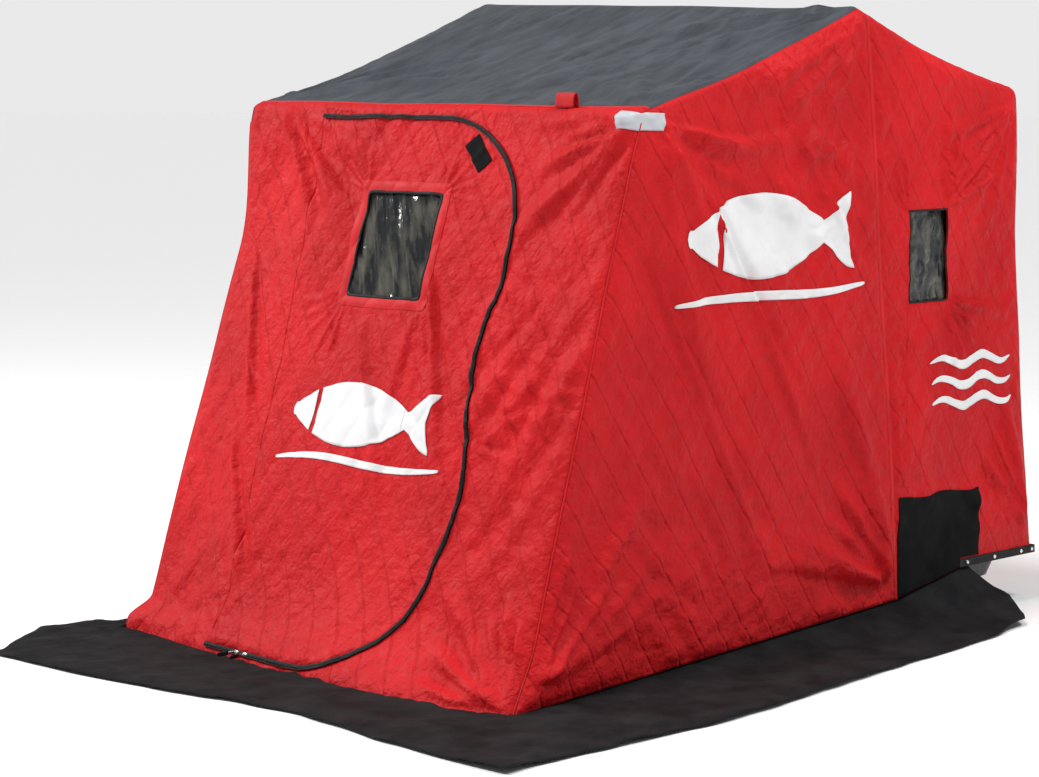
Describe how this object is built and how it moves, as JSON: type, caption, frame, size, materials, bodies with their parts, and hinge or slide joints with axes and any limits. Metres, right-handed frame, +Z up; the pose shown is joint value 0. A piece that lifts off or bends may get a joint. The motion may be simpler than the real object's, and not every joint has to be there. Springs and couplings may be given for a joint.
{
  "type": "flip-over ice fishing hut",
  "caption": "Quilted cloth ice fishing hut on hinged tube bows with a shallow plastic sled as its back floor, clear windows, a ground skirt and a zipped door flap that swings out.",
  "frame": {"origin": "on the ice, at the middle of the footprint's bounding box (the skirt counts)", "axes": "+Y from the door towards the sled at the back, +X to the right seen from in front of the door, +Z up"},
  "size_m": [2.2099, 2.548, 1.65],
  "materials": {
    "red_cloth": "quilted, slightly glossy cloth",
    "roof_cloth": "dark grey coated cloth",
    "black_cloth": "matte coated cloth",
    "window_vinyl": "clear flexible vinyl",
    "reflective_tape": "silver reflective tape",
    "sled_plastic": "moulded, faint grain",
    "lip_strip": "riveted flat strip",
    "frame_tube": "square-cut round tube, galvanised",
    "zip_tape": "woven tape",
    "zip_metal": "plated, worn"
  },
  "bodies": {
    "hut": {"front_wall_left": "red_cloth", "front_wall_right": "red_cloth", "front_wall_head": "red_cloth", "front_wall_sill": "red_cloth", "right_wall_main": "red_cloth", "right_wall_rear": "red_cloth", "left_wall_main": "red_cloth", "left_wall_rear": "red_cloth", "rear_wall": "red_cloth", "roof_rear": "red_cloth", "eave_loop": "red_cloth", "roof_front": "roof_cloth", "skirt_front": "black_cloth", "skirt_right": "black_cloth", "skirt_left": "black_cloth", "right_patch": "black_cloth", "left_patch": "black_cloth", "right_window_pane": "window_vinyl", "left_window_pane": "window_vinyl", "right_reflector": "reflective_tape", "left_reflector": "reflective_tape", "sled": "sled_plastic", "pivot_brackets": "sled_plastic", "lip_trim": "lip_strip", "ground_bow_bar": "frame_tube", "ground_bow_legs": "frame_tube", "front_bow_bar": "frame_tube", "front_bow_legs": "frame_tube", "ridge_bow_bar": "frame_tube", "ridge_bow_legs": "frame_tube", "rear_bow_bar": "frame_tube", "rear_bow_legs": "frame_tube", "frame_zip": "zip_tape"},
    "door": {"door_flap": "red_cloth", "door_window_pane": "window_vinyl", "door_zip": "zip_tape", "door_tab": "zip_tape", "zip_pulls": "zip_metal"}
  },
  "joints": [
    {"name": "door_hinge", "type": "hinge", "parent": "hut", "child": "door", "pos_m": [-0.372, -0.6092, 0.6913], "axis": [0.0425, -0.3052, -0.9513], "range_deg": [0, 100]}
  ]
}
